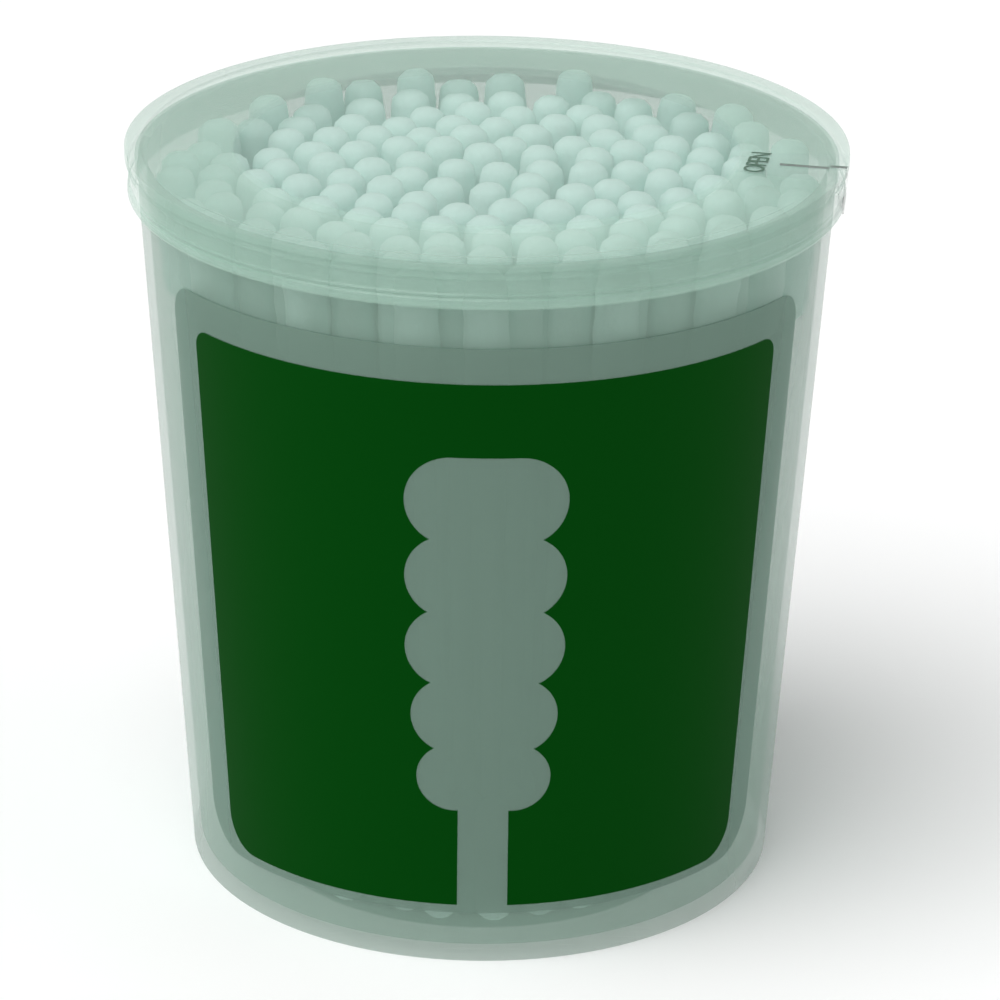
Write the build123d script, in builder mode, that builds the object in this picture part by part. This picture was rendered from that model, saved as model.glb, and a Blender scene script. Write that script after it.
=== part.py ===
from build123d import *
import math
import os

import numpy as np

# Cotton swab tub: a tapered moulded tub with a snap lid, a wrapped front label, a round clear film
# on the lid whose tab folds over the edge, and a bundle of cotton swabs standing on end.
# Millimetres, +Z up. The origin is the centre of the standing face; the label faces -Y.

# ---- tub ----
tub_height = 80.15  # standing face to the top of the rim
tub_neck_height = 76.0  # where the taper ends and the upright neck under the lid begins
tub_neck_radius = 37.05
tub_base_radius = 32.2  # the tapered wall's line carried down to the standing face
tub_wall = 0.9
tub_floor = 1.6  # standing face to the inner floor
base_corner_radius = 6.2
stand_ring_radius = 24.0  # the underside is hollowed inside this ring
stand_hollow = 0.6
rim_edge_radius = 0.3
snap_bead_radius = 0.22
snap_bead_drop = 1.7  # below the top of the rim

# ---- lid ----
lid_radius = 38.5
lid_panel = 0.8
lid_rim_rise = 0.2  # the outer ring of the lid stands proud of its panel
lid_rim_width = 1.65
lid_edge_radius = 0.45
lid_lip = 0.6  # least thickness of the skirt's lower lip
# The skirt's outline from its shoulder down: depth below the top, and inset from the lid radius.
lid_skirt_steps = [
    (1.10, 0.00),
    (1.35, 0.38),
    (1.95, 0.25),
    (2.25, 0.48),
    (3.50, 0.48),
    (3.70, 0.34),
    (4.05, 0.52),
    (4.25, 0.26),
    (4.85, 0.26),
    (5.20, 0.50),
]
lid_seat_gap = 0.05  # lid panel above the tub's rim
lid_fit = 0.15  # skirt's inner wall outside the snap bead

# ---- films ----
film_thickness = 0.12
film_bond = 0.02  # adhesive between a film and the wall that it covers
label_half_angle = 61.5
label_bottom = 6.0
label_top = 71.4
label_top_corner = 3.5
label_bottom_corner = 5.5
label_corner_cut = 2.0  # reach of the corner cuts, in and out
seal_radius = 27.0
tab_azimuth = -11.8
tab_angle = 13.5
tab_end_depth = 5.0  # below the top of the lid
tab_corner = 1.5

# ---- swabs ----
swab_length = 76.0
stick_radius = 1.1
tip_length = 15.5
tip_end_radius = 1.2
upper_tip_radius = 2.3
lower_tip_radius = 2.05  # the tub's taper squeezes the lower tips
tip_taper = 0.28  # the tip is this much slimmer at the stick
swab_gap = 0.12  # between neighbouring tips
swab_wall_gap = 0.15  # between the tips and the tub
swab_lift = 0.7  # how unevenly the swabs stand
swab_fill = 0.74  # share of the foot circle that the lower tips cover
foot_circle_inset = 1.35  # how far the outermost feet stand inside the wall above the corner
swab_swing = 1.6  # how far the heads wander from straight spokes
ring_count = 6
pack_rounds = 900
pack_seed = 5


def tub_outer_radius(height):
    """Outer radius of the tapered wall at a height."""
    share = height / tub_neck_height
    return tub_base_radius + (tub_neck_radius - tub_base_radius) * share


def corner_of(sketch, x, y):
    """The sketch corner nearest to a point."""
    return sketch.vertices().sort_by_distance((x, y, 0))[0]


def write(shape, name):
    """Label a finished piece and write its file."""
    shape.label = name
    export_step(shape, f"parts/{name}.step")


os.makedirs("parts", exist_ok=True)

# ---- tub: one moulding, revolved ----
tub_inner_base = tub_outer_radius(tub_floor) - tub_wall
tub_inner_neck = tub_neck_radius - tub_wall
inner_corner_radius = base_corner_radius - tub_wall

with BuildPart() as tub:
    with BuildSketch(Plane.XZ) as tub_section:
        with BuildLine():
            Polyline(
                (0, stand_hollow),
                (stand_ring_radius, stand_hollow),
                (stand_ring_radius + stand_hollow, 0),
                (tub_base_radius, 0),
                (tub_neck_radius, tub_neck_height),
                (tub_neck_radius, tub_height),
                (tub_inner_neck, tub_height),
                (tub_inner_neck, tub_neck_height),
                (tub_inner_base, tub_floor),
                (0, tub_floor),
                close=True,
            )
        make_face()
        fillet(corner_of(tub_section.sketch, tub_base_radius, 0), base_corner_radius)
        fillet(corner_of(tub_section.sketch, tub_inner_base, tub_floor), inner_corner_radius)
        fillet(corner_of(tub_section.sketch, tub_neck_radius, tub_height), rim_edge_radius)
        fillet(corner_of(tub_section.sketch, tub_inner_neck, tub_height), rim_edge_radius)
        with Locations((tub_neck_radius, tub_height - snap_bead_drop)):
            Circle(snap_bead_radius)
    revolve(axis=Axis.Z)
write(tub.part, "tub")

# ---- lid: panel and stepped skirt, revolved ----
panel_under = tub_height + lid_seat_gap
panel_top = panel_under + lid_panel
lid_top = panel_top + lid_rim_rise
rim_inner_radius = lid_radius - lid_rim_width
skirt_bore = tub_neck_radius + snap_bead_radius + lid_fit
skirt_outline = [
    (max(lid_radius - inset, skirt_bore + lid_lip), lid_top - depth) for depth, inset in lid_skirt_steps
]

with BuildPart() as lid:
    with BuildSketch(Plane.XZ) as lid_section:
        with BuildLine():
            Polyline(
                (0, panel_under),
                (0, panel_top),
                (rim_inner_radius - lid_rim_rise, panel_top),
                (rim_inner_radius, lid_top),
                (lid_radius, lid_top),
                *skirt_outline,
                (skirt_bore, skirt_outline[-1][1]),
                (skirt_bore, panel_under),
                close=True,
            )
        make_face()
        fillet(corner_of(lid_section.sketch, lid_radius, lid_top), lid_edge_radius)
    revolve(axis=Axis.Z)
write(lid.part, "lid")

# ---- front label: a film wrapped on the tapered wall ----
label_foot_radius = tub_outer_radius(label_bottom) + film_bond
label_head_radius = tub_outer_radius(label_top) + film_bond

with BuildPart() as front_label:
    with BuildSketch(Plane.XZ.rotated((0, 0, -90 - label_half_angle))):
        with BuildLine():
            Polyline(
                (label_foot_radius, label_bottom),
                (label_foot_radius + film_thickness, label_bottom),
                (label_head_radius + film_thickness, label_top),
                (label_head_radius, label_top),
                close=True,
            )
        make_face()
    revolve(axis=Axis.Z, revolution_arc=2 * label_half_angle)
    for side in (-1, 1):
        azimuth = math.radians(-90 + side * label_half_angle)
        outward = Vector(math.cos(azimuth), math.sin(azimuth), 0)
        for height, radius in ((label_bottom, label_bottom_corner), (label_top, label_top_corner)):
            inward = (-side, 1 if height == label_bottom else -1)
            corner = outward * tub_outer_radius(height) + Vector(0, 0, height)
            with BuildSketch(Plane(origin=corner, x_dir=Vector(0, 0, 1).cross(outward), z_dir=outward)):
                with Locations((inward[0] * (radius - 1) / 2, inward[1] * (radius - 1) / 2)):
                    Rectangle(radius + 1, radius + 1)
                with Locations((inward[0] * radius, inward[1] * radius)):
                    Circle(radius, mode=Mode.SUBTRACT)
            extrude(amount=label_corner_cut, both=True, mode=Mode.SUBTRACT)
write(front_label.part, "front_label")

# ---- lid film: a clear disc on the panel, and a tab that folds over the edge ----
film_under = panel_top + film_bond
film_over = film_under + film_thickness
rim_film_under = lid_top + film_bond
edge_film_inner = lid_radius + film_bond
shoulder_height = lid_top - lid_skirt_steps[0][0]
lip_depth, lip_inset = lid_skirt_steps[-3]
lip_film_inner = lid_radius - lip_inset + film_bond
lip_height = lid_top - lip_depth
tab_end_height = lid_top - tab_end_depth
rise_start = rim_inner_radius - lid_rim_rise

with BuildPart() as lid_film:
    with BuildSketch(Plane.XY.offset(film_under)):
        Circle(seal_radius)
    extrude(amount=film_thickness)
    with BuildSketch(Plane.XZ.rotated((0, 0, tab_azimuth - tab_angle / 2))) as tab_section:
        with BuildLine():
            Polyline(
                (seal_radius - 1, film_under),
                (rise_start - film_bond, film_under),
                (rim_inner_radius - film_bond, rim_film_under),
                (edge_film_inner, rim_film_under),
                (edge_film_inner, shoulder_height),
                (lip_film_inner, lip_height),
                (lip_film_inner, tab_end_height),
                (lip_film_inner + film_thickness, tab_end_height),
                (lip_film_inner + film_thickness, lip_height),
                (edge_film_inner + film_thickness, shoulder_height),
                (edge_film_inner + film_thickness, rim_film_under + film_thickness),
                (rim_inner_radius - film_bond - film_thickness / 2, rim_film_under + film_thickness),
                (rise_start - film_bond - film_thickness / 2, film_over),
                (seal_radius - 1, film_over),
                close=True,
            )
        make_face()
        fillet(corner_of(tab_section.sketch, edge_film_inner, rim_film_under), lid_edge_radius)
        outer_corner = (edge_film_inner + film_thickness, rim_film_under + film_thickness)
        fillet(corner_of(tab_section.sketch, *outer_corner), lid_edge_radius + film_thickness)
    revolve(axis=Axis.Z, revolution_arc=tab_angle)
    end_edges = lid_film.edges().filter_by(lambda edge: edge.length < 2 * film_thickness).group_by(Axis.Z)[0]
    fillet(end_edges, tab_corner)
write(lid_film.part, "lid_film")

# ---- swab pieces, each built with its outer end at the origin and its length along +Z ----


def swab_tip(tip_radius):
    """A cotton tip: a plain round-ended roll, whose lobes and fluff are surface finish."""
    with BuildPart() as tip:
        with BuildSketch(Plane.XZ) as section:
            with BuildLine():
                Polyline(
                    (0, 0),
                    (tip_radius, 0),
                    (tip_radius - tip_taper, tip_length),
                    (0, tip_length),
                    close=True,
                )
            make_face()
            fillet(corner_of(section.sketch, tip_radius, 0), tip_end_radius)
        revolve(axis=Axis.Z)
    return tip.part


upper_tip = swab_tip(upper_tip_radius)
lower_tip = swab_tip(lower_tip_radius)

with BuildPart() as stick:
    with BuildSketch(Plane.XY.offset(tip_length)):
        Circle(stick_radius)
    extrude(amount=swab_length - 2 * tip_length)

# ---- the bundle: feet and heads settle apart until no tips touch ----
foot_limit = tub_inner_base - lower_tip_radius - foot_circle_inset
head_height = tub_floor + swab_length
head_limit = min(tub_outer_radius(head_height), tub_neck_radius) - tub_wall - upper_tip_radius - swab_wall_gap
foot_pitch = 2 * lower_tip_radius + swab_gap
head_pitch = 2 * upper_tip_radius + swab_gap
swab_count = int(swab_fill * ((foot_limit + foot_pitch / 2) / (foot_pitch / 2)) ** 2)


def settle(feet, heads):
    """Push the swabs apart at both ends of both tips, and back inside the wall."""
    tip_share = tip_length / swab_length
    levels = [
        (0.0, foot_pitch),
        (tip_share, foot_pitch),
        (1 - tip_share, head_pitch),
        (1.0, head_pitch),
    ]
    for _ in range(pack_rounds):
        for share, pitch in levels:
            spots = feet * (1 - share) + heads * share
            apart = spots[:, None, :] - spots[None, :, :]
            distance = np.hypot(apart[..., 0], apart[..., 1]) + np.eye(len(spots)) * 1e6
            push = np.maximum(pitch - distance, 0) / distance
            shift = (apart * push[..., None]).sum(axis=1) * 0.5
            weight = (1 - share) ** 2 + share**2
            feet += shift * (1 - share) / weight
            heads += shift * share / weight
        for ends, limit in ((feet, foot_limit), (heads, head_limit)):
            radius = np.hypot(ends[:, 0], ends[:, 1])[:, None]
            ends *= np.minimum(1, limit / np.maximum(radius, 1e-9))
    return feet, heads


dice = np.random.default_rng(pack_seed)
order = np.arange(swab_count) + 0.5
spiral = order * math.pi * (3 - math.sqrt(5))
spokes = np.stack([np.cos(spiral), np.sin(spiral)], axis=1) * np.sqrt(order / swab_count)[:, None]
feet, heads = settle(
    spokes * foot_limit + dice.normal(0, 0.4, (swab_count, 2)),
    spokes * head_limit + dice.normal(0, swab_swing, (swab_count, 2)),
)


def foot_ride(radius):
    """How far the rounded inner corner lifts a foot that stands at a radius."""
    end_flat = lower_tip_radius - tip_end_radius
    corner_centre = tub_inner_base - inner_corner_radius
    reach = inner_corner_radius - tip_end_radius - swab_wall_gap
    outward = max(radius + end_flat - corner_centre, 0)
    return max(inner_corner_radius - tip_end_radius - math.sqrt(max(reach**2 - outward**2, 0)), 0)


def swab_plane(foot, head, lift):
    """The plane at a swab's foot, with its normal along the stick."""
    rise = foot_ride(math.hypot(*foot)) + lift
    return Plane(
        origin=(float(foot[0]), float(foot[1]), tub_floor + rise),
        z_dir=(float(head[0] - foot[0]), float(head[1] - foot[1]), swab_length),
    )


lifts = dice.uniform(0.05, swab_lift, swab_count)
planes = [swab_plane(*swab) for swab in zip(feet, heads, lifts)]
by_radius = sorted(planes, key=lambda plane: math.hypot(plane.origin.X, plane.origin.Y))

for ring in range(ring_count):
    places = by_radius[swab_count * ring // ring_count : swab_count * (ring + 1) // ring_count]
    tops = [
        Plane(origin=plane.origin + plane.z_dir * swab_length, x_dir=plane.x_dir, z_dir=-plane.z_dir)
        for plane in places
    ]
    with BuildPart() as sticks:
        with Locations(*places):
            add(stick.part)
    with BuildPart() as upper_tips:
        with Locations(*tops):
            add(upper_tip)
    with BuildPart() as lower_tips:
        with Locations(*places):
            add(lower_tip)
    write(sticks.part, f"swab_sticks_ring_{ring + 1}")
    write(upper_tips.part, f"upper_tips_ring_{ring + 1}")
    write(lower_tips.part, f"lower_tips_ring_{ring + 1}")
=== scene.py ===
"""Cotton swab tub: finishes, fluffy cotton tips, the opening mark and a white stage."""
import math

import bpy
import numpy as np
from mathutils import Euler, Matrix, Vector


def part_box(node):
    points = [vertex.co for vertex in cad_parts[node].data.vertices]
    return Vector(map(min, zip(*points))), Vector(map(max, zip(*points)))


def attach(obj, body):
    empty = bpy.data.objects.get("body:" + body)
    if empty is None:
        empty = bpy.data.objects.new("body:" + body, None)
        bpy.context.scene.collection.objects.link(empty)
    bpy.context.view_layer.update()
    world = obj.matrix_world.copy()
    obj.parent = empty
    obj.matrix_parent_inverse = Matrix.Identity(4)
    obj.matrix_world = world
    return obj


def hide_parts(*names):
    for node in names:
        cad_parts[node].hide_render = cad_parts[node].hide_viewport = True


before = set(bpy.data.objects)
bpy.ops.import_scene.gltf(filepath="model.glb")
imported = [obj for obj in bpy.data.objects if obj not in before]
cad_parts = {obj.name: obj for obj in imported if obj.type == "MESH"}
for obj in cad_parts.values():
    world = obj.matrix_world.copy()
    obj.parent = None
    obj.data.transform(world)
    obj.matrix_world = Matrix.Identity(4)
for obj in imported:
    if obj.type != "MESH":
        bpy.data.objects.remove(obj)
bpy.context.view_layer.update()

bl_info = {
    "name": "Cotton swab tub",
    "version": (1, 0, 0),
    "blender": (4, 5, 0),
    "location": "3D View > Sidebar > Swab tub",
    "description": "Finishes the packed swab tub and sets its stage",
    "category": "Object",
}

MM = 0.001
RINGS = range(1, 7)
MARK_AZIMUTH = math.radians(-11.8)
LID_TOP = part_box("lid_film")[1][2]
LID_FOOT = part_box("lid")[0][2]

# Widths and heights in millimetres.
FILM_RADIUS = 27.0
FIELD_MEAN_RADIUS = 34.8
FIELD_HALF_WIDTH = 33.3
FIELD_LOW = 6.94
FIELD_HIGH = 67.5
FIELD_TOP_CORNER = 2.0
FIELD_BOTTOM_CORNER = 4.2
WINDOW_OFFSET = 0.35
WINDOW_STICK_HALF_WIDTH = 2.65
WINDOW_STICK_TOP = 20.0
LINE_HALF_WIDTH = 0.17
LINE_START_RADIUS = 31.4
ARROW_TIP_HEIGHT = 0.25
ARROW_LENGTH = 2.0
ARROW_SPREAD = 0.45

# How much the lid hides inside the film's circle, as a share of what it hides outside.
CLEAR_SHARE = 0.42

# How far the opening word's base sits below the film's top, in metres, and how its font is scaled.
WORD_SINK = 0.00020
WORD_STRETCH = (0.72, 0.78)

# The camera: its place in metres, its turns in radians and its lens in millimetres.
CAMERA_PLACE = (0, -0.462, 0.23197)
CAMERA_PITCH_DOWN = 0.39409
CAMERA_YAW = -0.00398
CAMERA_ROLL = 0.01287
CAMERA_LENS = 164.07


class SwabTubFinish(bpy.types.PropertyGroup):
    """Colours of the finishes."""

    plastic: bpy.props.FloatVectorProperty(
        name="Plastic", description="Tub and lid tint", subtype="COLOR", size=3, default=(0.29, 0.44, 0.36)
    )
    lid_tint: bpy.props.FloatVectorProperty(
        name="Lid tint", description="Lid colour", subtype="COLOR", size=3, default=(0.40, 0.60, 0.50)
    )
    cotton: bpy.props.FloatVectorProperty(
        name="Cotton", description="Cotton tint", subtype="COLOR", size=3, default=(0.74, 0.95, 0.9)
    )
    print_green: bpy.props.FloatVectorProperty(
        name="Print", description="Label print", subtype="COLOR", size=3, default=(0.0, 0.05, 0.002)
    )
    tub_cover: bpy.props.FloatProperty(
        name="Tub cover", description="How much each face of the wall hides", default=0.4, min=0, max=1
    )
    lid_cover: bpy.props.FloatProperty(
        name="Lid cover", description="How much each face of the lid hides", default=0.38, min=0, max=1
    )


class SwabTubShape(bpy.types.PropertyGroup):
    """Sizes of what is added to the frame."""

    lobe_count: bpy.props.IntProperty(
        name="Lobes", description="Lobes along a cotton tip", default=4, min=1
    )
    lobe_depth: bpy.props.FloatProperty(
        name="Lobe depth", description="Depth of the waists", subtype="DISTANCE", default=0.00024
    )
    word_height: bpy.props.FloatProperty(
        name="Word height", description="Height of the opening word", subtype="DISTANCE", default=0.0029
    )
    word_radius: bpy.props.FloatProperty(
        name="Word radius", description="Baseline from the axis", subtype="DISTANCE", default=0.0301
    )


def deselect():
    for thing in list(bpy.context.selected_objects):
        thing.select_set(False)


class Nodes:
    """Short calls for one material's nodes."""

    def __init__(self, name):
        self.material = bpy.data.materials.new(name)
        self.material.use_nodes = True
        self.tree = self.material.node_tree
        self.shader = self.tree.nodes["Principled BSDF"]

    def new(self, kind, **settings):
        node = self.tree.nodes.new(kind)
        for key, value in settings.items():
            setattr(node, key, value)
        return node

    def link(self, start, end):
        self.tree.links.new(start, end)

    def feed(self, socket, value):
        if isinstance(value, bpy.types.NodeSocket):
            self.link(value, socket)
        else:
            socket.default_value = value

    def math(self, operation, first, second=0.0, clamp=False):
        node = self.new("ShaderNodeMath", operation=operation, use_clamp=clamp)
        self.feed(node.inputs[0], first)
        self.feed(node.inputs[1], second)
        return node.outputs[0]

    def position(self):
        """Object coordinates in millimetres: x, y, z."""
        coordinates = self.new("ShaderNodeTexCoord")
        split = self.new("ShaderNodeSeparateXYZ")
        self.link(coordinates.outputs["Object"], split.inputs[0])
        return [self.math("MULTIPLY", split.outputs[axis], 1 / MM) for axis in range(3)]

    def inside(self, distance, softness=0.06):
        """One where a signed distance is below zero, with a narrow soft edge."""
        return self.math("SUBTRACT", 0.5, self.math("DIVIDE", distance, softness), clamp=True)

    def length(self, first, second):
        first_squared = self.math("MULTIPLY", first, first)
        second_squared = self.math("MULTIPLY", second, second)
        return self.math("SQRT", self.math("ADD", first_squared, second_squared))

    def mix(self, factor, low, high):
        node = self.new("ShaderNodeMix", data_type="RGBA")
        self.feed(node.inputs["Factor"], factor)
        self.feed(node.inputs["A"], low)
        self.feed(node.inputs["B"], high)
        return node.outputs["Result"]

    def blend(self, factor, low, high):
        """A plain number between two numbers."""
        return self.math("ADD", self.math("MULTIPLY", factor, high - low), low)

    def noise(self, scale, detail=3.0):
        coordinates = self.new("ShaderNodeTexCoord")
        node = self.new("ShaderNodeTexNoise")
        node.inputs["Scale"].default_value = scale
        node.inputs["Detail"].default_value = detail
        self.link(coordinates.outputs["Object"], node.inputs["Vector"])
        return node.outputs["Fac"]

    def bump(self, height, distance, strength=1.0):
        node = self.new("ShaderNodeBump")
        node.inputs["Distance"].default_value = distance
        node.inputs["Strength"].default_value = strength
        self.link(height, node.inputs["Height"])
        self.link(node.outputs["Normal"], self.shader.inputs["Normal"])


def wear(node_name, material):
    """Put a finish on a CAD node."""
    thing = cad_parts[node_name]
    thing.data.materials.clear()
    thing.data.materials.append(material)


def frosted_plastic(name, colour, cover, roughness, clear_radius=0.0):
    """Moulded translucent plastic with faint flow cloudiness, clearer inside a radius in millimetres."""
    nodes = Nodes(name)
    cloud = nodes.noise(45.0)
    tint = [*colour, 1]
    light = [min(c * 1.12, 1) for c in colour] + [1]
    nodes.link(nodes.mix(cloud, tint, light), nodes.shader.inputs["Base Color"])
    x, y, _ = nodes.position()
    clear = nodes.inside(nodes.math("SUBTRACT", nodes.length(x, y), clear_radius), 0.3)
    hiding = nodes.blend(cloud, cover * 0.9, cover * 1.1)
    hiding = nodes.math("MULTIPLY", hiding, nodes.blend(clear, 1.0, CLEAR_SHARE))
    nodes.link(hiding, nodes.shader.inputs["Alpha"])
    nodes.shader.inputs["Roughness"].default_value = roughness
    nodes.shader.inputs["IOR"].default_value = 1.49
    nodes.bump(nodes.noise(900.0), 0.00001)
    return nodes.material


def cotton_finish(colour):
    """Matt cotton with fine fibres."""
    nodes = Nodes("cotton_fibre")
    cloud = nodes.noise(700.0, 4.0)
    low = [c * 0.93 for c in colour] + [1]
    high = [min(c * 1.05, 1) for c in colour] + [1]
    nodes.link(nodes.mix(cloud, low, high), nodes.shader.inputs["Base Color"])
    nodes.shader.inputs["Roughness"].default_value = 0.95
    nodes.shader.inputs["Sheen Weight"].default_value = 0.3
    nodes.bump(nodes.noise(2600.0, 5.0), 0.00008)
    return nodes.material


class SWABTUB_OT_plastic(bpy.types.Operator):
    """Finish the tub and the lid"""

    bl_idname = "swabtub.plastic"
    bl_label = "Tub and lid"

    def execute(self, context):
        finish = context.scene.swab_finish
        wear("tub", frosted_plastic("tub_plastic", finish.plastic, finish.tub_cover, 0.32))
        wear("lid", frosted_plastic("lid_plastic", finish.lid_tint, finish.lid_cover, 0.16, FILM_RADIUS))
        return {"FINISHED"}


class SWABTUB_OT_label(bpy.types.Operator):
    """Print the front label: a green field with a bare swab outline"""

    bl_idname = "swabtub.label"
    bl_label = "Front label"

    # Height, half-width and rounding of each lobe of the outline, in millimetres.
    lobes = [
        (54.4, 8.5, 4.95),
        (45.8, 8.42, 4.75),
        (37.65, 8.35, 4.6),
        (29.7, 7.7, 4.4),
        (22.4, 7.05, 3.95),
    ]

    def execute(self, context):
        finish = context.scene.swab_finish
        nodes = Nodes("label_print")
        x, y, z = nodes.position()
        radius = nodes.length(x, y)
        azimuth = nodes.math("ARCTAN2", x, nodes.math("MULTIPLY", y, -1.0))
        # The field's sides follow the taper, so its width is an angle times a mean radius.
        middle = (FIELD_LOW + FIELD_HIGH) / 2
        lower = nodes.math("LESS_THAN", z, middle)
        corner = nodes.blend(lower, FIELD_TOP_CORNER, FIELD_BOTTOM_CORNER)
        across = nodes.math("ABSOLUTE", nodes.math("MULTIPLY", azimuth, FIELD_MEAN_RADIUS))
        across = nodes.math("ADD", nodes.math("SUBTRACT", across, FIELD_HALF_WIDTH), corner)
        up = nodes.math("ABSOLUTE", nodes.math("SUBTRACT", z, middle))
        up = nodes.math("ADD", nodes.math("SUBTRACT", up, (FIELD_HIGH - FIELD_LOW) / 2), corner)
        edge = nodes.length(nodes.math("MAXIMUM", across, 0.0), nodes.math("MAXIMUM", up, 0.0))
        field = nodes.inside(nodes.math("SUBTRACT", edge, corner))
        along = nodes.math("MULTIPLY", azimuth, radius)
        side = nodes.math("ABSOLUTE", nodes.math("SUBTRACT", along, WINDOW_OFFSET))
        beside_stick = nodes.math("SUBTRACT", side, WINDOW_STICK_HALF_WIDTH)
        window = nodes.math("MAXIMUM", beside_stick, nodes.math("SUBTRACT", z, WINDOW_STICK_TOP))
        for height, half, rounding in self.lobes:
            reach = nodes.math("MAXIMUM", nodes.math("SUBTRACT", side, half - rounding), 0.0)
            rise = nodes.math("SUBTRACT", z, height)
            lobe = nodes.math("SUBTRACT", nodes.length(reach, rise), rounding)
            window = nodes.math("MINIMUM", window, lobe)
        printed = nodes.math("MULTIPLY", field, nodes.math("SUBTRACT", 1.0, nodes.inside(window)))
        clear = [c * 0.72 for c in finish.plastic] + [1]
        nodes.link(nodes.mix(printed, clear, [*finish.print_green, 1]), nodes.shader.inputs["Base Color"])
        nodes.link(nodes.blend(printed, 0.55, 1.0), nodes.shader.inputs["Alpha"])
        nodes.shader.inputs["Roughness"].default_value = 0.42
        nodes.shader.inputs["Specular IOR Level"].default_value = 0.02
        nodes.bump(nodes.noise(500.0), 0.000008)
        wear("front_label", nodes.material)
        return {"FINISHED"}


class SWABTUB_OT_lid_film(bpy.types.Operator):
    """Finish the clear film on the lid and add the opening word, line and arrow"""

    bl_idname = "swabtub.lid_film"
    bl_label = "Lid film and mark"

    def execute(self, context):
        shape = context.scene.swab_shape
        nodes = Nodes("clear_film")
        x, y, z = nodes.position()
        radius = nodes.length(x, y)
        turn = nodes.math("SUBTRACT", nodes.math("ARCTAN2", y, x), MARK_AZIMUTH)
        side = nodes.math("ABSOLUTE", nodes.math("MULTIPLY", turn, radius))
        above_tip = nodes.math("SUBTRACT", z, (LID_FOOT / MM) + ARROW_TIP_HEIGHT)
        head = nodes.math("MULTIPLY", nodes.math("LESS_THAN", above_tip, ARROW_LENGTH), ARROW_SPREAD)
        width = nodes.math("ADD", nodes.math("MULTIPLY", head, above_tip), LINE_HALF_WIDTH)
        before_start = nodes.math("SUBTRACT", LINE_START_RADIUS, radius)
        line = nodes.math("MAXIMUM", nodes.math("SUBTRACT", side, width), before_start)
        inked = nodes.inside(line)
        tint = nodes.mix(inked, [0.6, 0.8, 0.74, 1], [0.0, 0.06, 0.02, 1])
        nodes.link(tint, nodes.shader.inputs["Base Color"])
        nodes.link(nodes.blend(inked, 0.04, 1.0), nodes.shader.inputs["Alpha"])
        nodes.shader.inputs["Roughness"].default_value = 0.12
        nodes.bump(nodes.noise(160.0), 0.00002)
        wear("lid_film", nodes.material)

        deselect()
        bpy.ops.object.text_add(location=(0, 0, 0))
        word = context.object
        word.name = "opening_word"
        word.data.body = "OPEN"
        word.data.size = shape.word_height * 1.4
        word.data.space_character = 0.82
        word.data.align_x = "CENTER"
        word.data.extrude = 0.00002
        bpy.ops.object.convert(target="MESH")
        word = context.object
        place = (
            Matrix.Rotation(MARK_AZIMUTH, 4, "Z")
            @ Matrix.Translation((shape.word_radius, 0, LID_TOP - WORD_SINK))
            @ Matrix.Rotation(math.pi / 2, 4, "Z")
            @ Matrix.Diagonal((*WORD_STRETCH, 1, 1))
        )
        word.data.transform(place)
        ink = Nodes("green_ink")
        fleck = ink.noise(1500.0)
        ink_tint = ink.mix(fleck, [0.0, 0.05, 0.02, 1], [0.005, 0.09, 0.035, 1])
        ink.link(ink_tint, ink.shader.inputs["Base Color"])
        ink.shader.inputs["Roughness"].default_value = 0.4
        word.data.materials.append(ink.material)
        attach(word, "lid")
        return {"FINISHED"}


def swab_places(node_name, end):
    """Outer end, inward direction, length and points of each tip in a CAD node. end is 1 for upper tips."""
    deselect()
    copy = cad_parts[node_name].copy()
    copy.data = copy.data.copy()
    bpy.context.collection.objects.link(copy)
    bpy.context.view_layer.objects.active = copy
    copy.select_set(True)
    bpy.ops.object.mode_set(mode="EDIT")
    bpy.ops.mesh.select_all(action="SELECT")
    bpy.ops.mesh.remove_doubles(threshold=1e-6)
    bpy.ops.mesh.separate(type="LOOSE")
    bpy.ops.object.mode_set(mode="OBJECT")
    places = []
    for part in list(bpy.context.selected_objects):
        points = np.array([part.matrix_world @ v.co for v in part.data.vertices])
        middle = (points.max(axis=0) + points.min(axis=0)) / 2
        _, _, axes = np.linalg.svd(points - points.mean(axis=0))
        inward = axes[0] * (-end if axes[0][2] > 0 else end)
        reach = (points - middle) @ inward
        start = Vector(middle + inward * reach.min())
        places.append((start, Vector(inward), reach.max() - reach.min(), points))
        bpy.data.objects.remove(part)
    return sorted(places, key=lambda place: (round(place[0].x, 6), place[0].y))


def cotton_tip(length, radius, shape, dice):
    """One lobed cotton tip with its outer end at the origin and its length along +Z."""
    deselect()
    bpy.ops.mesh.primitive_uv_sphere_add(segments=10, ring_count=12, radius=1.0)
    tip = bpy.context.object
    phases = dice.uniform(0, 2 * math.pi, 3)
    for vertex in tip.data.vertices:
        share = min(max((1 - vertex.co.z) / 2, 0), 1)
        share = (math.acos(1 - 2 * share) / math.pi) ** 1.6
        angle = math.atan2(vertex.co.y, vertex.co.x)
        dome = min(share / 0.13, 1)
        close = min((1 - share) / 0.06, 1)
        body = math.sqrt(max(1 - (1 - dome) ** 2.4, 0)) * math.sqrt(close)
        waist = 0.5 - 0.5 * math.cos(2 * math.pi * (share * shape.lobe_count - 0.5))
        twist = 0.035 * math.sin(angle * 2 + phases[0] + share * 5)
        wander = 1 + twist + 0.02 * math.sin(angle * 3 + phases[1])
        size = (radius * (1 - 0.1 * share**2) - shape.lobe_depth * (1 - waist) * 0.9) * body * wander
        vertex.co = Vector((math.cos(angle) * size, math.sin(angle) * size, share * length))
    return tip


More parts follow.
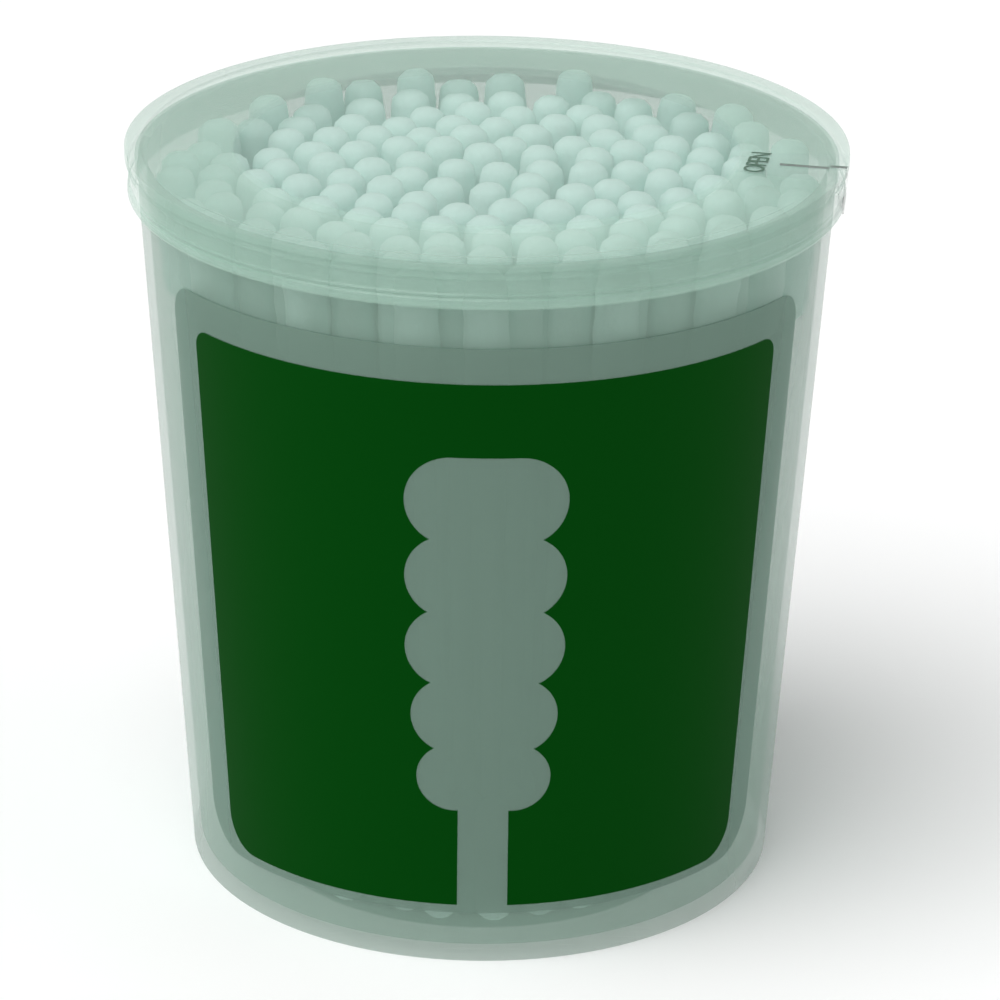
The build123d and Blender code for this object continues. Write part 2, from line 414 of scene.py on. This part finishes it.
class SWABTUB_OT_cotton(bpy.types.Operator):
    """Model the lobed cotton tips where the frame holds plain rolls"""

    bl_idname = "swabtub.cotton"
    bl_label = "Cotton tips"

    def execute(self, context):
        finish = cotton_finish(context.scene.swab_finish.cotton)
        shape = context.scene.swab_shape
        dice = np.random.default_rng(11)
        for family, end in (("upper_tips", 1), ("lower_tips", -1)):
            for ring in RINGS:
                node_name = f"{family}_ring_{ring}"
                tips = []
                for start, inward, length, points in swab_places(node_name, end):
                    across = np.cross(points - np.array(start), np.array(inward))
                    radius = float(np.linalg.norm(across, axis=1).max()) * 0.965
                    tip = cotton_tip(length, radius, shape, dice)
                    turn = inward.to_track_quat("Z", "Y").to_matrix().to_4x4()
                    tip.data.transform(Matrix.Translation(start) @ turn)
                    tips.append(tip)
                deselect()
                for tip in tips:
                    tip.select_set(True)
                context.view_layer.objects.active = tips[0]
                bpy.ops.object.join()
                cotton = context.object
                cotton.name = f"cotton_{node_name}"
                bpy.ops.object.shade_smooth()
                cotton.data.materials.clear()
                cotton.data.materials.append(finish)
                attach(cotton, "tub")
                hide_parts(node_name)
        return {"FINISHED"}


class SWABTUB_OT_sticks(bpy.types.Operator):
    """Finish the swab sticks as rolled paper"""

    bl_idname = "swabtub.sticks"
    bl_label = "Sticks"

    def execute(self, context):
        nodes = Nodes("stick_paper")
        grain = nodes.noise(600.0)
        tint = nodes.mix(grain, [0.6, 0.74, 0.7, 1], [0.7, 0.84, 0.8, 1])
        nodes.link(tint, nodes.shader.inputs["Base Color"])
        nodes.shader.inputs["Roughness"].default_value = 0.7
        nodes.bump(grain, 0.00003)
        for ring in RINGS:
            wear(f"swab_sticks_ring_{ring}", nodes.material)
        return {"FINISHED"}


class SWABTUB_OT_stage(bpy.types.Operator):
    """White floor, soft lamps and the camera"""

    bl_idname = "swabtub.stage"
    bl_label = "Stage"

    # Direction from the lamp, strength and softness in degrees.
    lamps = [((0.35, 0.35, -1.0), 2.0, 50), ((1.0, 0.25, -0.35), 0.55, 40), ((-1.0, 0.25, -0.35), 0.45, 40)]

    def execute(self, context):
        deselect()
        bpy.ops.mesh.primitive_plane_add(size=8)
        floor = context.object
        floor.name = "floor"
        nodes = Nodes("white_floor")
        nodes.shader.inputs["Base Color"].default_value = (1, 1, 1, 1)
        nodes.shader.inputs["Roughness"].default_value = 1.0
        nodes.shader.inputs["Specular IOR Level"].default_value = 0.0
        floor.data.materials.append(nodes.material)
        for index, (direction, strength, softness) in enumerate(self.lamps):
            bpy.ops.object.light_add(type="SUN")
            lamp = context.object
            lamp.name = f"lamp_{index + 1}"
            lamp.data.energy = strength
            lamp.data.angle = math.radians(softness)
            lamp.rotation_euler = Vector(direction).to_track_quat("-Z", "Y").to_euler()
        world = bpy.data.worlds.new("white")
        context.scene.world = world
        world.use_nodes = True
        tree = world.node_tree
        background = tree.nodes["Background"]
        path = tree.nodes.new("ShaderNodeLightPath")
        seen = tree.nodes.new("ShaderNodeMath")
        seen.operation = "ADD"
        seen.use_clamp = True
        tree.links.new(path.outputs["Is Camera Ray"], seen.inputs[0])
        tree.links.new(path.outputs["Is Glossy Ray"], seen.inputs[1])
        level = tree.nodes.new("ShaderNodeMapRange")
        level.inputs["To Min"].default_value = 0.38
        level.inputs["To Max"].default_value = 1.0
        tree.links.new(seen.outputs[0], level.inputs["Value"])
        tree.links.new(level.outputs[0], background.inputs["Strength"])
        background.inputs["Color"].default_value = (1, 1, 1, 1)

        camera_data = bpy.data.cameras.new("camera")
        camera = bpy.data.objects.new("camera", camera_data)
        context.collection.objects.link(camera)
        camera_data.sensor_width = 36.0
        camera_data.lens = CAMERA_LENS
        aim = Euler((math.pi / 2 - CAMERA_PITCH_DOWN, 0, CAMERA_YAW)).to_matrix().to_4x4()
        roll = Matrix.Rotation(CAMERA_ROLL, 4, "Z")
        camera.matrix_world = Matrix.Translation(CAMERA_PLACE) @ aim @ roll
        context.scene.camera = camera
        context.scene.view_settings.view_transform = "Standard"
        return {"FINISHED"}


OPERATORS = (
    SWABTUB_OT_plastic,
    SWABTUB_OT_label,
    SWABTUB_OT_lid_film,
    SWABTUB_OT_cotton,
    SWABTUB_OT_sticks,
    SWABTUB_OT_stage,
)


class SWABTUB_PT_panel(bpy.types.Panel):
    """Lists the tub's operators and settings."""

    bl_idname = "SWABTUB_PT_panel"
    bl_label = "Swab tub"
    bl_space_type = "VIEW_3D"
    bl_region_type = "UI"
    bl_category = "Swab tub"

    def draw(self, context):
        for group in (context.scene.swab_finish, context.scene.swab_shape):
            for name in group.__annotations__:
                self.layout.prop(group, name)
        for operator in OPERATORS:
            self.layout.operator(operator.bl_idname)


CLASSES = (SwabTubFinish, SwabTubShape, *OPERATORS, SWABTUB_PT_panel)


def register():
    for each in CLASSES:
        bpy.utils.register_class(each)
    bpy.types.Scene.swab_finish = bpy.props.PointerProperty(type=SwabTubFinish)
    bpy.types.Scene.swab_shape = bpy.props.PointerProperty(type=SwabTubShape)


def unregister():
    del bpy.types.Scene.swab_shape
    del bpy.types.Scene.swab_finish
    for each in reversed(CLASSES):
        bpy.utils.unregister_class(each)


def main():
    register()
    bpy.ops.swabtub.plastic()
    bpy.ops.swabtub.label()
    bpy.ops.swabtub.lid_film()
    bpy.ops.swabtub.cotton()
    bpy.ops.swabtub.sticks()
    bpy.ops.swabtub.stage()


if __name__ == "__main__":
    main()
